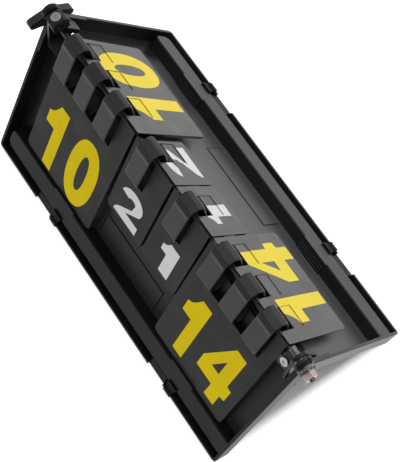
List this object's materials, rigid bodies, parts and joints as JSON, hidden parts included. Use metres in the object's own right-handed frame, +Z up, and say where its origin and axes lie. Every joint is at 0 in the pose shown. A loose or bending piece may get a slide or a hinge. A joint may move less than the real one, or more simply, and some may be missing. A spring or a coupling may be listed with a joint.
{
  "type": "tabletop flip scoreboard",
  "caption": "Tent-shaped tabletop flip scoreboard: shallow trays hinged at the ridge, slotted number cards turning over on ring bands, tie rod with wing nut, rim latches.",
  "frame": {"origin": "centre of the footprint on the table, under the ridge", "axes": "+Z up, X along the ridge with the hex nut at +X and the wing nut at -X, -Y towards the front tray with the thick piles"},
  "size_m": [0.412, 0.2134, 0.1868],
  "materials": {
    "tray": "fine satin, slightly worn",
    "latch": "gloss",
    "ring": "satin",
    "frame": "satin",
    "steel": "plated",
    "pin": "black",
    "nut": "plated",
    "knob": "fine grain",
    "score_card": "satin sheet with yellow numbers",
    "set_card": "satin sheet with white numbers",
    "sheet_pile": "stacked sheets"
  },
  "bodies": {
    "spine": {"spine_bar": "frame", "ring_screws": "steel", "near_bracket": "frame", "far_bracket": "frame", "near_face_screw": "steel", "far_top_screw": "steel", "bracket_screws": "steel", "hinge_pins": "pin", "tie_rod": "steel", "rod_washers": "steel", "rod_nut": "nut", "ring_1": "ring", "ring_2": "ring", "ring_3": "ring", "ring_4": "ring", "ring_5": "ring", "ring_6": "ring", "ring_7": "ring", "ring_8": "ring"},
    "wing": {"wing_nut": "knob"},
    "front_tray": {"front_tray": "tray", "front_hook_a": "latch", "front_hook_b": "latch", "front_left_score_pile": "sheet_pile", "front_left_set_pile": "sheet_pile", "front_right_set_pile": "sheet_pile", "front_right_score_pile": "sheet_pile"},
    "back_tray": {"back_tray": "tray", "back_hook_a": "latch", "back_hook_b": "latch", "back_left_score_pile": "sheet_pile", "back_left_set_pile": "sheet_pile", "back_right_set_pile": "sheet_pile", "back_right_score_pile": "sheet_pile"},
    "front_left_score": {"front_left_score_card": "score_card"},
    "front_left_set": {"front_left_set_card": "set_card"},
    "front_right_set": {"front_right_set_card": "set_card"},
    "front_right_score": {"front_right_score_card": "score_card"},
    "back_left_score": {"back_left_score_card": "score_card"},
    "back_left_set": {"back_left_set_card": "set_card"},
    "back_right_set": {"back_right_set_card": "set_card"},
    "back_right_score": {"back_right_score_card": "score_card"}
  },
  "joints": [
    {"name": "front_tray_hinge", "type": "hinge", "parent": "spine", "child": "front_tray", "pos_m": [0, 0, 0.1774], "axis": [-1, 0, 0], "range_deg": [-6, 148]},
    {"name": "back_tray_hinge", "type": "hinge", "parent": "spine", "child": "back_tray", "pos_m": [0, 0, 0.1774], "axis": [1, 0, 0], "range_deg": [-6, 148]},
    {"name": "wing_nut_turn", "type": "hinge", "parent": "spine", "child": "wing", "pos_m": [-0.2, 0, 0.1594], "axis": [-1, 0, 0], "continuous": true},
    {"name": "front_left_score_flip", "type": "hinge", "parent": "front_tray", "child": "front_left_score", "pos_m": [0, 0, 0.1774], "axis": [-1, 0, 0], "range_deg": [0, 299.29]},
    {"name": "front_left_set_flip", "type": "hinge", "parent": "front_tray", "child": "front_left_set", "pos_m": [0, 0, 0.1774], "axis": [-1, 0, 0], "range_deg": [0, 300.69]},
    {"name": "front_right_set_flip", "type": "hinge", "parent": "front_tray", "child": "front_right_set", "pos_m": [0, 0, 0.1774], "axis": [-1, 0, 0], "range_deg": [0, 300.69]},
    {"name": "front_right_score_flip", "type": "hinge", "parent": "front_tray", "child": "front_right_score", "pos_m": [0, 0, 0.1774], "axis": [-1, 0, 0], "range_deg": [0, 299.29]},
    {"name": "back_left_score_flip", "type": "hinge", "parent": "back_tray", "child": "back_left_score", "pos_m": [0, 0, 0.1774], "axis": [1, 0, 0], "range_deg": [0, 299.29]},
    {"name": "back_left_set_flip", "type": "hinge", "parent": "back_tray", "child": "back_left_set", "pos_m": [0, 0, 0.1774], "axis": [1, 0, 0], "range_deg": [0, 300.69]},
    {"name": "back_right_set_flip", "type": "hinge", "parent": "back_tray", "child": "back_right_set", "pos_m": [0, 0, 0.1774], "axis": [1, 0, 0], "range_deg": [0, 300.69]},
    {"name": "back_right_score_flip", "type": "hinge", "parent": "back_tray", "child": "back_right_score", "pos_m": [0, 0, 0.1774], "axis": [1, 0, 0], "range_deg": [0, 299.29]}
  ]
}
